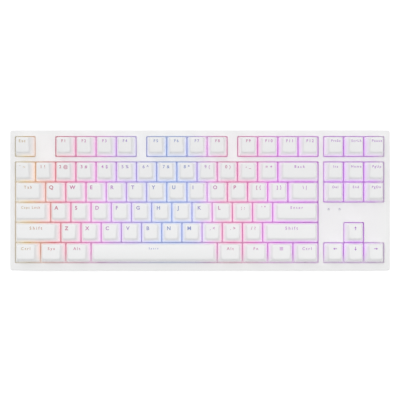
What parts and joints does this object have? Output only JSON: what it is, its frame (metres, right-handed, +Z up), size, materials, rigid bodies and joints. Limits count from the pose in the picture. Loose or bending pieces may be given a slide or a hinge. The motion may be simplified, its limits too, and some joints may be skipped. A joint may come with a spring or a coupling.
{
  "type": "mechanical keyboard",
  "caption": "Compact back-lit mechanical keyboard with a wedge case, function row, navigation block, sprung sculpted keys and flip-out rear feet.",
  "frame": {"origin": "on the desk plane under the middle of the case", "axes": "+X to the typist's right along the case, +Y to the rear, +Z up"},
  "size_m": [0.3578, 0.1324, 0.0455],
  "materials": {
    "case_plastic": "fine satin texture",
    "keycap_plastic": "fine matt texture, translucent legends",
    "plate_steel": "white powder coat",
    "foam": "closed-cell sheet",
    "board_laminate": "black solder mask",
    "chip_resin": "moulded epoxy",
    "socket_steel": "drawn steel",
    "screw_steel": "zinc plated",
    "lens_clear": "clear light pipe",
    "led_resin": "clear epoxy over phosphor",
    "housing_nylon": "moulded nylon",
    "housing_clear": "clear polycarbonate",
    "spring_steel": "drawn wire",
    "contact_brass": "gold flashed",
    "rubber": "soft rubber"
  },
  "bodies": {
    "case": {"backlight_leds": "led_resin", "bottom_case": "case_plastic", "case_screws": "screw_steel", "circuit_board": "board_laminate", "controller_chips": "chip_resin", "indicator_lenses": "lens_clear", "rubber_feet": "rubber", "sound_foam": "foam", "stabilizer_housings": "housing_nylon", "switch_contacts": "contact_brass", "switch_lower_housings": "housing_nylon", "switch_plate": "plate_steel", "switch_springs": "spring_steel", "switch_upper_housings": "housing_clear", "top_case": "case_plastic", "usb_c_socket": "socket_steel"},
    "key_esc": {"key_esc": "keycap_plastic"},
    "keys_f1_f4": {"keys_f1_f4": "keycap_plastic"},
    "keys_f5_f8": {"keys_f5_f8": "keycap_plastic"},
    "keys_f9_f12": {"keys_f9_f12": "keycap_plastic"},
    "keys_prtsc_pause": {"keys_prtsc_pause": "keycap_plastic"},
    "keys_grave_6": {"keys_grave_6": "keycap_plastic"},
    "keys_7_equals": {"keys_7_equals": "keycap_plastic"},
    "key_backspace": {"key_backspace": "keycap_plastic"},
    "stabilizer_wire_backspace": {"stabilizer_wire_backspace": "spring_steel"},
    "keys_insert_pgup": {"keys_insert_pgup": "keycap_plastic"},
    "key_tab": {"key_tab": "keycap_plastic"},
    "keys_q_t": {"keys_q_t": "keycap_plastic"},
    "keys_y_bracket": {"keys_y_bracket": "keycap_plastic"},
    "key_backslash": {"key_backslash": "keycap_plastic"},
    "keys_delete_pgdn": {"keys_delete_pgdn": "keycap_plastic"},
    "key_caps_lock": {"key_caps_lock": "keycap_plastic"},
    "keys_a_g": {"keys_a_g": "keycap_plastic"},
    "keys_h_quote": {"keys_h_quote": "keycap_plastic"},
    "key_enter": {"key_enter": "keycap_plastic"},
    "stabilizer_wire_enter": {"stabilizer_wire_enter": "spring_steel"},
    "key_shift_left": {"key_shift_left": "keycap_plastic"},
    "stabilizer_wire_shift_left": {"stabilizer_wire_shift_left": "spring_steel"},
    "keys_z_b": {"keys_z_b": "keycap_plastic"},
    "keys_n_slash": {"keys_n_slash": "keycap_plastic"},
    "key_shift_right": {"key_shift_right": "keycap_plastic"},
    "stabilizer_wire_shift_right": {"stabilizer_wire_shift_right": "spring_steel"},
    "key_arrow_up": {"key_arrow_up": "keycap_plastic"},
    "key_ctrl_left": {"key_ctrl_left": "keycap_plastic"},
    "key_super_left": {"key_super_left": "keycap_plastic"},
    "key_alt_left": {"key_alt_left": "keycap_plastic"},
    "key_space": {"key_space": "keycap_plastic"},
    "stabilizer_wire_space": {"stabilizer_wire_space": "spring_steel"},
    "key_alt_right": {"key_alt_right": "keycap_plastic"},
    "key_fn": {"key_fn": "keycap_plastic"},
    "key_menu": {"key_menu": "keycap_plastic"},
    "key_ctrl_right": {"key_ctrl_right": "keycap_plastic"},
    "key_arrow_left": {"key_arrow_left": "keycap_plastic"},
    "key_arrow_down": {"key_arrow_down": "keycap_plastic"},
    "key_arrow_right": {"key_arrow_right": "keycap_plastic"},
    "flip_foot_left": {"flip_foot_left": "case_plastic", "flip_foot_pad_left": "rubber"},
    "flip_foot_right": {"flip_foot_right": "case_plastic", "flip_foot_pad_right": "rubber"}
  },
  "joints": [
    {"name": "flip_foot_left_fold", "type": "hinge", "parent": "case", "child": "flip_foot_left", "pos_m": [-0.104, 0.05, 0.0036], "axis": [1, 0, 0], "range_deg": [0, 95]},
    {"name": "flip_foot_right_fold", "type": "hinge", "parent": "case", "child": "flip_foot_right", "pos_m": [0.104, 0.05, 0.0036], "axis": [1, 0, 0], "range_deg": [0, 95]},
    {"name": "esc_press", "type": "slide", "parent": "case", "child": "key_esc", "axis": [0, 0.1132, -0.9936], "range_m": [0, 0.004], "stiffness_N_per_m": 150, "springref_m": -0.003, "deforming": ["switch_springs"]},
    {"name": "f1_f4_press", "type": "slide", "parent": "case", "child": "keys_f1_f4", "axis": [0, 0.1132, -0.9936], "range_m": [0, 0.004], "stiffness_N_per_m": 600, "springref_m": -0.003, "deforming": ["switch_springs"]},
    {"name": "f5_f8_press", "type": "slide", "parent": "case", "child": "keys_f5_f8", "axis": [0, 0.1132, -0.9936], "range_m": [0, 0.004], "stiffness_N_per_m": 600, "springref_m": -0.003, "deforming": ["switch_springs"]},
    {"name": "f9_f12_press", "type": "slide", "parent": "case", "child": "keys_f9_f12", "axis": [0, 0.1132, -0.9936], "range_m": [0, 0.004], "stiffness_N_per_m": 600, "springref_m": -0.003, "deforming": ["switch_springs"]},
    {"name": "prtsc_pause_press", "type": "slide", "parent": "case", "child": "keys_prtsc_pause", "axis": [0, 0.1132, -0.9936], "range_m": [0, 0.004], "stiffness_N_per_m": 450, "springref_m": -0.003, "deforming": ["switch_springs"]},
    {"name": "grave_6_press", "type": "slide", "parent": "case", "child": "keys_grave_6", "axis": [0, 0.1132, -0.9936], "range_m": [0, 0.004], "stiffness_N_per_m": 1050, "springref_m": -0.003, "deforming": ["switch_springs"]},
    {"name": "7_equals_press", "type": "slide", "parent": "case", "child": "keys_7_equals", "axis": [0, 0.1132, -0.9936], "range_m": [0, 0.004], "stiffness_N_per_m": 900, "springref_m": -0.003, "deforming": ["switch_springs"]},
    {"name": "backspace_press", "type": "slide", "parent": "case", "child": "key_backspace", "axis": [0, 0.1132, -0.9936], "range_m": [0, 0.004], "stiffness_N_per_m": 150, "springref_m": -0.003, "deforming": ["switch_springs"]},
    {"name": "backspace_wire_turn", "type": "hinge", "parent": "case", "child": "stabilizer_wire_backspace", "pos_m": [0.09247, 0.0187, 0.02052], "axis": [-1, 0, 0], "range_deg": [0, 30]},
    {"name": "insert_pgup_press", "type": "slide", "parent": "case", "child": "keys_insert_pgup", "axis": [0, 0.1132, -0.9936], "range_m": [0, 0.004], "stiffness_N_per_m": 450, "springref_m": -0.003, "deforming": ["switch_springs"]},
    {"name": "tab_press", "type": "slide", "parent": "case", "child": "key_tab", "axis": [0, 0.1132, -0.9936], "range_m": [0, 0.004], "stiffness_N_per_m": 150, "springref_m": -0.003, "deforming": ["switch_springs"]},
    {"name": "q_t_press", "type": "slide", "parent": "case", "child": "keys_q_t", "axis": [0, 0.1132, -0.9936], "range_m": [0, 0.004], "stiffness_N_per_m": 750, "springref_m": -0.003, "deforming": ["switch_springs"]},
    {"name": "y_bracket_press", "type": "slide", "parent": "case", "child": "keys_y_bracket", "axis": [0, 0.1132, -0.9936], "range_m": [0, 0.004], "stiffness_N_per_m": 1050, "springref_m": -0.003, "deforming": ["switch_springs"]},
    {"name": "backslash_press", "type": "slide", "parent": "case", "child": "key_backslash", "axis": [0, 0.1132, -0.9936], "range_m": [0, 0.004], "stiffness_N_per_m": 150, "springref_m": -0.003, "deforming": ["switch_springs"]},
    {"name": "delete_pgdn_press", "type": "slide", "parent": "case", "child": "keys_delete_pgdn", "axis": [0, 0.1132, -0.9936], "range_m": [0, 0.004], "stiffness_N_per_m": 450, "springref_m": -0.003, "deforming": ["switch_springs"]},
    {"name": "caps_lock_press", "type": "slide", "parent": "case", "child": "key_caps_lock", "axis": [0, 0.1132, -0.9936], "range_m": [0, 0.004], "stiffness_N_per_m": 150, "springref_m": -0.003, "deforming": ["switch_springs"]},
    {"name": "a_g_press", "type": "slide", "parent": "case", "child": "keys_a_g", "axis": [0, 0.1132, -0.9936], "range_m": [0, 0.004], "stiffness_N_per_m": 750, "springref_m": -0.003, "deforming": ["switch_springs"]},
    {"name": "h_quote_press", "type": "slide", "parent": "case", "child": "keys_h_quote", "axis": [0, 0.1132, -0.9936], "range_m": [0, 0.004], "stiffness_N_per_m": 900, "springref_m": -0.003, "deforming": ["switch_springs"]},
    {"name": "enter_press", "type": "slide", "parent": "case", "child": "key_enter", "axis": [0, 0.1132, -0.9936], "range_m": [0, 0.004], "stiffness_N_per_m": 150, "springref_m": -0.003, "deforming": ["switch_springs"]},
    {"name": "enter_wire_turn", "type": "hinge", "parent": "case", "child": "stabilizer_wire_enter", "pos_m": [0.09009, -0.01916, 0.01621], "axis": [-1, 0, 0], "range_deg": [0, 30]},
    {"name": "shift_left_press", "type": "slide", "parent": "case", "child": "key_shift_left", "axis": [0, 0.1132, -0.9936], "range_m": [0, 0.004], "stiffness_N_per_m": 150, "springref_m": -0.003, "deforming": ["switch_springs"]},
    {"name": "shift_left_wire_turn", "type": "hinge", "parent": "case", "child": "stabilizer_wire_shift_left", "pos_m": [-0.1528, -0.03809, 0.01405], "axis": [-1, 0, 0], "range_deg": [0, 30]},
    {"name": "z_b_press", "type": "slide", "parent": "case", "child": "keys_z_b", "axis": [0, 0.1132, -0.9936], "range_m": [0, 0.004], "stiffness_N_per_m": 750, "springref_m": -0.003, "deforming": ["switch_springs"]},
    {"name": "n_slash_press", "type": "slide", "parent": "case", "child": "keys_n_slash", "axis": [0, 0.1132, -0.9936], "range_m": [0, 0.004], "stiffness_N_per_m": 750, "springref_m": -0.003, "deforming": ["switch_springs"]},
    {"name": "shift_right_press", "type": "slide", "parent": "case", "child": "key_shift_right", "axis": [0, 0.1132, -0.9936], "range_m": [0, 0.004], "stiffness_N_per_m": 150, "springref_m": -0.003, "deforming": ["switch_springs"]},
    {"name": "shift_right_wire_turn", "type": "hinge", "parent": "case", "child": "stabilizer_wire_shift_right", "pos_m": [0.08532, -0.03809, 0.01405], "axis": [-1, 0, 0], "range_deg": [0, 30]},
    {"name": "arrow_up_press", "type": "slide", "parent": "case", "child": "key_arrow_up", "axis": [0, 0.1132, -0.9936], "range_m": [0, 0.004], "stiffness_N_per_m": 150, "springref_m": -0.003, "deforming": ["switch_springs"]},
    {"name": "ctrl_left_press", "type": "slide", "parent": "case", "child": "key_ctrl_left", "axis": [0, 0.1132, -0.9936], "range_m": [0, 0.004], "stiffness_N_per_m": 150, "springref_m": -0.003, "deforming": ["switch_springs"]},
    {"name": "super_left_press", "type": "slide", "parent": "case", "child": "key_super_left", "axis": [0, 0.1132, -0.9936], "range_m": [0, 0.004], "stiffness_N_per_m": 150, "springref_m": -0.003, "deforming": ["switch_springs"]},
    {"name": "alt_left_press", "type": "slide", "parent": "case", "child": "key_alt_left", "axis": [0, 0.1132, -0.9936], "range_m": [0, 0.004], "stiffness_N_per_m": 150, "springref_m": -0.003, "deforming": ["switch_springs"]},
    {"name": "space_press", "type": "slide", "parent": "case", "child": "key_space", "axis": [0, 0.1132, -0.9936], "range_m": [0, 0.004], "stiffness_N_per_m": 150, "springref_m": -0.003, "deforming": ["switch_springs"]},
    {"name": "space_wire_turn", "type": "hinge", "parent": "case", "child": "stabilizer_wire_space", "pos_m": [-0.04326, -0.05701, 0.01189], "axis": [-1, 0, 0], "range_deg": [0, 30]},
    {"name": "alt_right_press", "type": "slide", "parent": "case", "child": "key_alt_right", "axis": [0, 0.1132, -0.9936], "range_m": [0, 0.004], "stiffness_N_per_m": 150, "springref_m": -0.003, "deforming": ["switch_springs"]},
    {"name": "fn_press", "type": "slide", "parent": "case", "child": "key_fn", "axis": [0, 0.1132, -0.9936], "range_m": [0, 0.004], "stiffness_N_per_m": 150, "springref_m": -0.003, "deforming": ["switch_springs"]},
    {"name": "menu_press", "type": "slide", "parent": "case", "child": "key_menu", "axis": [0, 0.1132, -0.9936], "range_m": [0, 0.004], "stiffness_N_per_m": 150, "springref_m": -0.003, "deforming": ["switch_springs"]},
    {"name": "ctrl_right_press", "type": "slide", "parent": "case", "child": "key_ctrl_right", "axis": [0, 0.1132, -0.9936], "range_m": [0, 0.004], "stiffness_N_per_m": 150, "springref_m": -0.003, "deforming": ["switch_springs"]},
    {"name": "arrow_left_press", "type": "slide", "parent": "case", "child": "key_arrow_left", "axis": [0, 0.1132, -0.9936], "range_m": [0, 0.004], "stiffness_N_per_m": 150, "springref_m": -0.003, "deforming": ["switch_springs"]},
    {"name": "arrow_down_press", "type": "slide", "parent": "case", "child": "key_arrow_down", "axis": [0, 0.1132, -0.9936], "range_m": [0, 0.004], "stiffness_N_per_m": 150, "springref_m": -0.003, "deforming": ["switch_springs"]},
    {"name": "arrow_right_press", "type": "slide", "parent": "case", "child": "key_arrow_right", "axis": [0, 0.1132, -0.9936], "range_m": [0, 0.004], "stiffness_N_per_m": 150, "springref_m": -0.003, "deforming": ["switch_springs"]}
  ],
  "couplings": [
    {"joint": "backspace_wire_turn", "follows": "backspace_press", "rad_per_m": 126.5},
    {"joint": "enter_wire_turn", "follows": "enter_press", "rad_per_m": 126.5},
    {"joint": "shift_left_wire_turn", "follows": "shift_left_press", "rad_per_m": 126.5},
    {"joint": "shift_right_wire_turn", "follows": "shift_right_press", "rad_per_m": 126.5},
    {"joint": "space_wire_turn", "follows": "space_press", "rad_per_m": 126.5}
  ]
}
